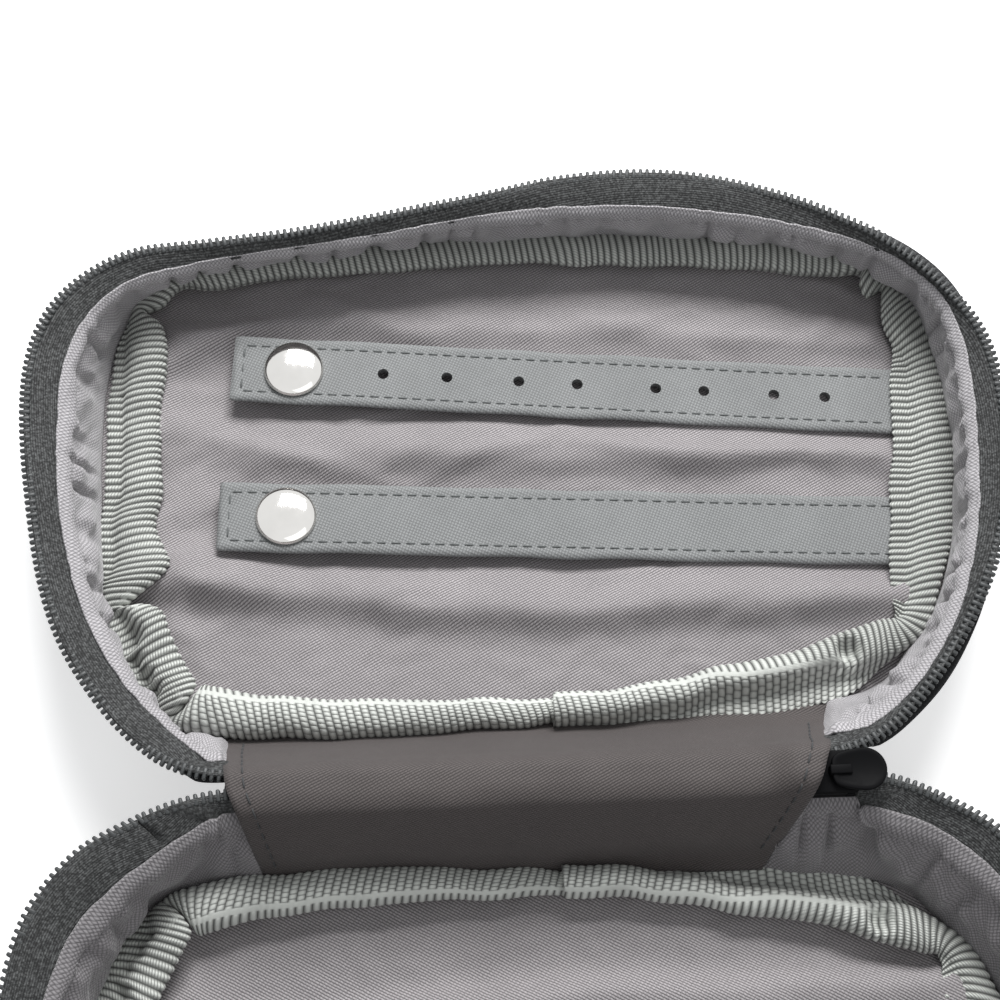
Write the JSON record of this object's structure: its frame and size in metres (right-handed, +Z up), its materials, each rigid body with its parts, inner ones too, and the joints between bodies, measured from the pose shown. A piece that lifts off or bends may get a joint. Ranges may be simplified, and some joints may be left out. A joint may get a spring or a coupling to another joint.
{
  "type": "travel jewelry organizer",
  "caption": "Zip-round clamshell travel jewelry case lying open, with webbing-bound padded trays, a punched earring strap and a ring strap on press snaps.",
  "frame": {"origin": "middle of the fold line between the halves, dropped to the plane that the case lies on", "axes": "+X along the fold towards the slider's end, +Y towards the half with the straps, +Z up out of the open trays"},
  "size_m": [0.2036, 0.2606, 0.0297],
  "materials": {
    "outer_nylon": "matt woven nylon, padded, charcoal black",
    "lining": "woven nylon lining, grey with a slight purple cast, soft sheen",
    "webbing": "ribbed grosgrain webbing, pale grey-green",
    "strap": "close woven fabric over a firm core, grey, top-stitched",
    "zip_tape": "woven zip tape, charcoal",
    "zip_teeth": "moulded nylon, charcoal, slight shine",
    "foam": "open foam sheet",
    "board": "thin stiffener sheet",
    "nickel": "polished nickel plate",
    "black_metal": "black enamel, soft gloss"
  },
  "bodies": {
    "lower_half": {"lower_outer_panel": "outer_nylon", "lower_stiffener_board": "board", "lower_foam_pad": "foam", "lower_floor_lining": "lining", "lower_side_wall": "outer_nylon", "lower_wall_lining": "lining", "lower_spine_wall": "outer_nylon", "lower_hinge_lining": "lining", "lower_floor_binding": "webbing", "lower_zip_tape": "zip_tape", "lower_zip_coil": "zip_teeth", "zip_chain_end": "zip_teeth"},
    "upper_half": {"upper_outer_panel": "outer_nylon", "upper_stiffener_board": "board", "upper_foam_pad": "foam", "upper_floor_lining": "lining", "upper_side_wall": "outer_nylon", "upper_wall_lining": "lining", "upper_spine_wall": "outer_nylon", "upper_hinge_lining": "lining", "upper_floor_binding": "webbing", "upper_zip_tape": "zip_tape", "upper_zip_coil": "zip_teeth", "earring_snap_stud": "nickel", "earring_snap_post": "nickel", "ring_snap_stud": "nickel", "ring_snap_post": "nickel"},
    "earring_strap": {"earring_strap": "strap", "earring_snap_cap": "nickel", "earring_snap_socket": "nickel"},
    "ring_strap": {"ring_strap": "strap", "ring_snap_cap": "nickel", "ring_snap_socket": "nickel"},
    "zip_slider": {"zip_slider": "black_metal"},
    "zip_pull_tab": {"zip_pull_tab": "black_metal"}
  },
  "joints": [
    {"name": "lid_hinge", "type": "hinge", "parent": "lower_half", "child": "upper_half", "pos_m": [0, 0, 0.026], "axis": [1, 0, 0], "range_deg": [0, 180]},
    {"name": "earring_strap_lift", "type": "hinge", "parent": "upper_half", "child": "earring_strap", "pos_m": [0.07668, 0.085, 0.0056], "axis": [-0.0802, -0.9968, 0], "range_deg": [-80, 0]},
    {"name": "ring_strap_lift", "type": "hinge", "parent": "upper_half", "child": "ring_strap", "pos_m": [0.07533, 0.0545, 0.0056], "axis": [-0.0506, -0.9987, 0], "range_deg": [-80, 0]},
    {"name": "slider_slide", "type": "slide", "parent": "lower_half", "child": "zip_slider", "axis": [1, 0, 0], "range_m": [0, 0.005]},
    {"name": "pull_tab_swing", "type": "hinge", "parent": "zip_slider", "child": "zip_pull_tab", "pos_m": [0.0564, -0.00225, 0.0282], "axis": [0, 1, 0], "range_deg": [-110, 0]}
  ]
}
